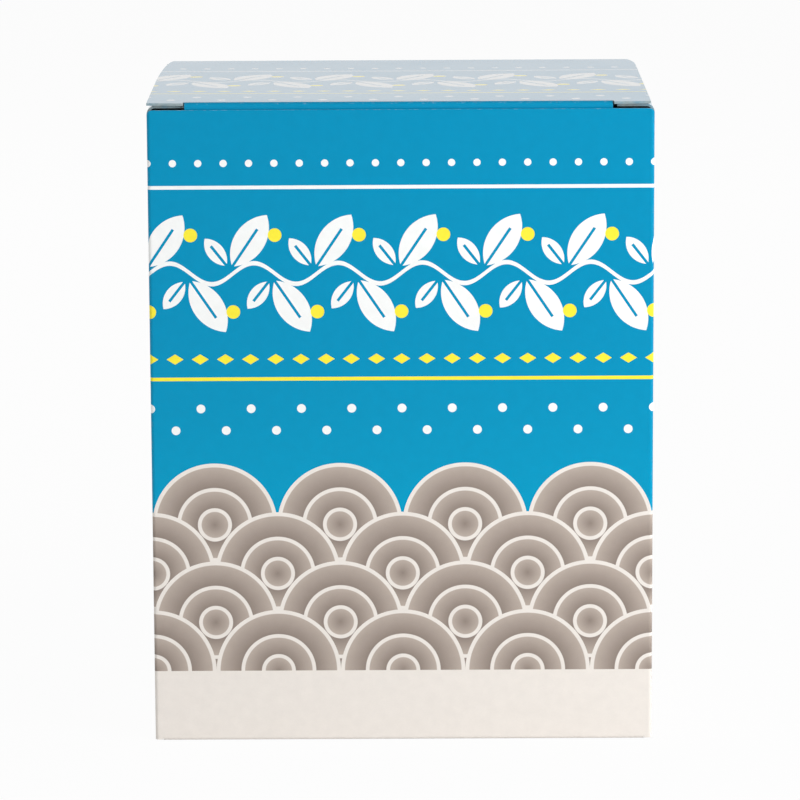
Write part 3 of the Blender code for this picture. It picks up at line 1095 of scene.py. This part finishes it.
def new_material(name, specular):
    """A material with a Principled shader whose plain values are already set."""
    material = bpy.data.materials.new(name)
    material.use_nodes = True
    shader = material.node_tree.nodes["Principled BSDF"]
    shader.inputs["Metallic"].default_value = 0.0
    shader.inputs["IOR"].default_value = PAPER_IOR
    shader.inputs["Specular IOR Level"].default_value = specular
    return material, material.node_tree, shader


def board_place(tree):
    """The place on the flat board in millimetres, as a vector and as its two parts."""
    board_map = tree.nodes.new("ShaderNodeUVMap")
    board_map.uv_map = BOARD_MAP
    place_here = scaled(tree, board_map.outputs["UV"], 1.0 / MM)
    parts = tree.nodes.new("ShaderNodeSeparateXYZ")
    tree.links.new(place_here, parts.inputs[0])
    return place_here, parts.outputs["X"], parts.outputs["Y"]


def add_bump(tree, shader, height, depth):
    bump = tree.nodes.new("ShaderNodeBump")
    bump.inputs["Strength"].default_value = 1.0
    bump.inputs["Distance"].default_value = depth
    tree.links.new(height, bump.inputs["Height"])
    tree.links.new(bump.outputs["Normal"], shader.inputs["Normal"])


def printed_face():
    """The outer face: inked and varnished, worn along creases and cut edges, bare past the bleed."""
    if "printed face" in bpy.data.materials:
        return bpy.data.materials["printed face"]
    scene = bpy.context.scene
    inks = scene.carton_print
    material, tree, shader = new_material("printed face", INK_SPECULAR)
    shader.inputs["Coat IOR"].default_value = VARNISH_IOR
    shader.inputs["Coat Roughness"].default_value = VARNISH_ROUGHNESS
    place_here, along, up = board_place(tree)
    printed = use_group(tree, print_group(inks), Along=along, Up=up)
    fibres = use_group(tree, fibre_group(), Place=place_here)
    mottle = rescale(tree, fibres.outputs["Mottle"], *NOISE_RANGE, *INK_MOTTLE)
    tinted = scaled(tree, printed.outputs["Colour"], mottle)
    worn = tree.nodes.new("ShaderNodeAttribute")
    worn.attribute_name = WORN
    scuffs = add_noise(tree, place_here, *SCUFFS)
    rubbed = calc(tree, "ADD", calc(tree, "MULTIPLY", worn.outputs["Fac"], WORN_PULL), scuffs)
    rubbed = rescale(tree, rubbed, RUB_START, RUB_FULL, 0.0, scene.carton_board.wear)
    paper = blend_colour(tree, rubbed, tinted, opaque(inks.white))
    tree.links.new(paper, shader.inputs["Base Color"])
    smudges = add_noise(tree, place_here, *SMUDGES)
    smooth = rescale(tree, smudges, *NOISE_RANGE, *INK_ROUGHNESS)
    unvarnished = calc(tree, "SUBTRACT", 1.0, printed.outputs["Ink"])
    dull_rub = calc(tree, "MULTIPLY", rubbed, RUBBED_ROUGHNESS)
    dull_board = calc(tree, "MULTIPLY", unvarnished, UNVARNISHED_ROUGHNESS)
    dull = calc(tree, "MAXIMUM", dull_rub, dull_board)
    tree.links.new(calc(tree, "ADD", smooth, dull), shader.inputs["Roughness"])
    varnish = calc(tree, "SUBTRACT", printed.outputs["Ink"], rubbed)
    tree.links.new(varnish, shader.inputs["Coat Weight"])
    add_bump(tree, shader, fibres.outputs["Height"], INK_RELIEF)
    return material


def bare_face():
    """The inner face: uncoated grey board with its fibres showing."""
    if "bare inside face" in bpy.data.materials:
        return bpy.data.materials["bare inside face"]
    board = bpy.context.scene.carton_board
    material, tree, shader = new_material("bare inside face", BARE_SPECULAR)
    place_here = board_place(tree)[0]
    fibres = use_group(tree, fibre_group(), Place=place_here)
    light = [min(value * LIGHT_FIBRE, 1.0) for value in board.inside]
    dark = [value * DARK_FIBRE for value in board.inside]
    speck = [value * SPECK for value in board.inside]
    mottle = rescale(tree, fibres.outputs["Mottle"], *NOISE_RANGE, 0.0, 1.0)
    grey = blend_colour(tree, mottle, opaque(dark), opaque(light))
    specks = rescale(tree, add_noise(tree, place_here, *SPECKS), *SPECK_RANGE, 0.0, SPECK_STRENGTH)
    grey = blend_colour(tree, specks, grey, opaque(speck))
    tree.links.new(grey, shader.inputs["Base Color"])
    rough = rescale(tree, fibres.outputs["Mottle"], *NOISE_RANGE, *BARE_ROUGHNESS)
    tree.links.new(rough, shader.inputs["Roughness"])
    add_bump(tree, shader, fibres.outputs["Height"], BARE_RELIEF)
    return material


def cut_edge():
    """The raw edge: pressed layers of fibre, stained by the ink, with the ground's blue painted on the front
    wall's top as a painted highlight.
    """
    if "cut edge" in bpy.data.materials:
        return bpy.data.materials["cut edge"]
    scene = bpy.context.scene
    material, tree, shader = new_material("cut edge", EDGE_SPECULAR)
    coordinates = tree.nodes.new("ShaderNodeTexCoord")
    place_here = scaled(tree, coordinates.outputs["Object"], 1.0 / MM)
    layers = add_noise(tree, place_here, *EDGE_LAYERS)
    stain = add_noise(tree, place_here, *STAINS)
    pale = scene.carton_board.cut_edge
    deep = [value * DEEP_LAYER for value in pale]
    layer = rescale(tree, layers, *LAYER_RANGE, 0.0, 1.0)
    core = blend_colour(tree, layer, opaque(deep), opaque(pale))
    inked = rescale(tree, stain, *STAIN_RANGE, *EDGE_STAIN)
    along, up = board_place(tree)[1:]
    # The front wall's top edge between the slits takes the ground's blue as a painted highlight
    painted_top_highlight = calc(
        tree,
        "MULTIPLY",
        line_mask(tree, along, (LID_HIGH.x - LIP_LENGTH) / MM),
        line_mask(tree, calc(tree, "SUBTRACT", up, FRONT_TOP / MM), TOP_PAINTED_HIGHLIGHT_HALF),
    )
    # Here the painted highlight on the front wall's top edge joins the ink stain
    inked = calc(tree, "MAXIMUM", inked, calc(tree, "MULTIPLY", painted_top_highlight, TOP_PAINTED_HIGHLIGHT))
    core = blend_colour(tree, inked, core, opaque(scene.carton_print.ground))
    tree.links.new(core, shader.inputs["Base Color"])
    rough = rescale(tree, layers, *LAYER_RANGE, *EDGE_ROUGHNESS)
    tree.links.new(rough, shader.inputs["Roughness"])
    add_bump(tree, shader, layers, EDGE_RELIEF)
    return material


class CARTON_OT_stage(bpy.types.Operator):
    """Set up the floor, the lamps and the camera"""

    bl_idname = "carton.stage"
    bl_label = "Stage"

    def execute(self, context):
        stage = context.scene.carton_stage
        self.add_floor(stage)
        self.light_room(context.scene, stage)
        self.add_softbox("key", KEY_PLACE, stage.key_power)
        self.add_softbox("fill", FILL_PLACE, stage.fill_power)
        self.add_softbox("back_right", BACK_RIGHT_PLACE, stage.back_power)
        self.add_softbox("back_left", BACK_LEFT_PLACE, stage.back_power)
        self.add_camera(context.scene, stage)
        return {"FINISHED"}

    def add_floor(self, stage):
        edit = bmesh.new()
        bmesh.ops.create_grid(
            edit, x_segments=FLOOR_CELLS, y_segments=FLOOR_CELLS, size=FLOOR_REACH
        )
        bmesh.ops.translate(edit, vec=(0.0, 0.0, -FLOOR_GAP), verts=edit.verts)
        mesh = bpy.data.meshes.new("floor")
        edit.to_mesh(mesh)
        edit.free()
        floor = bpy.data.objects.new("floor", mesh)
        bpy.context.scene.collection.objects.link(floor)
        mesh.materials.append(self.floor_material(stage))

    def floor_material(self, stage):
        material = bpy.data.materials.new("floor")
        material.use_nodes = True
        tree = material.node_tree
        shader = tree.nodes["Principled BSDF"]
        shader.inputs["Base Color"].default_value = opaque(stage.floor)
        shader.inputs["Roughness"].default_value = FLOOR_ROUGHNESS
        shader.inputs["Specular IOR Level"].default_value = 0.0
        glow = tree.nodes.new("ShaderNodeEmission")
        glow.inputs["Color"].default_value = (1.0, 1.0, 1.0, 1.0)
        glow.inputs["Strength"].default_value = 1.0
        mixed = tree.nodes.new("ShaderNodeMixShader")
        seen = calc(tree, "MULTIPLY", seen_directly(tree), FLOOR_GLOW)
        tree.links.new(seen, mixed.inputs[0])
        tree.links.new(shader.outputs[0], mixed.inputs[1])
        tree.links.new(glow.outputs[0], mixed.inputs[2])
        output = tree.nodes["Material Output"]
        tree.links.new(mixed.outputs[0], output.inputs["Surface"])
        return material

    def light_room(self, scene, stage):
        world = bpy.data.worlds.new("room")
        scene.world = world
        world.use_nodes = True
        tree = world.node_tree
        background = tree.nodes["Background"]
        background.inputs["Color"].default_value = (1.0, 1.0, 1.0, 1.0)
        strength = calc(
            tree,
            "ADD",
            calc(tree, "MULTIPLY", seen_directly(tree), 1.0 - stage.room_light),
            stage.room_light,
        )
        tree.links.new(strength, background.inputs["Strength"])

    def add_softbox(self, name, place_at, power):
        data = bpy.data.lights.new(name, "AREA")
        data.shape = "RECTANGLE"
        data.size, data.size_y = SOFTBOX_SIZE
        data.energy = power
        lamp = bpy.data.objects.new(name, data)
        lamp.location = place_at
        lamp.visible_glossy = False
        aim = Vector((0.0, 0.0, LID_TOP / 2)) - Vector(place_at)
        lamp.rotation_euler = aim.to_track_quat("-Z", "Y").to_euler()
        bpy.context.scene.collection.objects.link(lamp)

    def add_camera(self, scene, stage):
        data = bpy.data.cameras.new("camera")
        data.lens = stage.lens
        data.sensor_width = SENSOR_WIDTH
        camera = bpy.data.objects.new("camera", data)
        pitch, roll, turn = stage.camera_turn
        rotation = (
            Matrix.Rotation(-turn, 4, "Z")
            @ Matrix.Rotation(QUARTER_TURN - pitch, 4, "X")
            @ Matrix.Rotation(roll, 4, "Z")
        )
        camera.matrix_world = Matrix.Translation(stage.camera_place) @ rotation
        scene.collection.objects.link(camera)
        scene.camera = camera
        scene.view_settings.view_transform = "Standard"


def seen_directly(tree):
    """1 for camera, glossy and transmission rays, which see the backdrop as white."""
    rays = tree.nodes.new("ShaderNodeLightPath")
    mirrored_or_seen = calc(
        tree, "MAXIMUM", rays.outputs["Is Camera Ray"], rays.outputs["Is Glossy Ray"]
    )
    return calc(tree, "MAXIMUM", mirrored_or_seen, rays.outputs["Is Transmission Ray"])


OPERATORS = (
    CARTON_OT_walls,
    CARTON_OT_lid,
    CARTON_OT_tuck_flap,
    CARTON_OT_dust_flaps,
    CARTON_OT_bottom_flaps,
    CARTON_OT_stage,
)


class CARTON_PT_panel(bpy.types.Panel):
    """Lists the carton's pieces and settings"""

    bl_idname = "CARTON_PT_panel"
    bl_label = "Folding Carton"
    bl_space_type = "VIEW_3D"
    bl_region_type = "UI"
    bl_category = "Carton"

    def draw(self, context):
        layout = self.layout
        for operator in OPERATORS:
            layout.operator(operator.bl_idname)
        for name in ("carton_board", "carton_print", "carton_stage"):
            settings = getattr(context.scene, name)
            column = layout.column()
            for setting in settings.bl_rna.properties:
                if setting.identifier not in ("rna_type", "name"):
                    column.prop(settings, setting.identifier)


CLASSES = (
    CartonBoardSettings,
    CartonPrintSettings,
    CartonStageSettings,
    *OPERATORS,
    CARTON_PT_panel,
)


def register():
    for cls in CLASSES:
        bpy.utils.register_class(cls)
    bpy.types.Scene.carton_board = bpy.props.PointerProperty(type=CartonBoardSettings)
    bpy.types.Scene.carton_print = bpy.props.PointerProperty(type=CartonPrintSettings)
    bpy.types.Scene.carton_stage = bpy.props.PointerProperty(type=CartonStageSettings)


def unregister():
    del bpy.types.Scene.carton_stage
    del bpy.types.Scene.carton_print
    del bpy.types.Scene.carton_board
    for cls in reversed(CLASSES):
        bpy.utils.unregister_class(cls)


def main():
    register()
    bpy.ops.carton.walls()
    bpy.ops.carton.lid()
    bpy.ops.carton.tuck_flap()
    bpy.ops.carton.dust_flaps()
    bpy.ops.carton.bottom_flaps()
    bpy.ops.carton.stage()


if __name__ == "__main__":
    main()
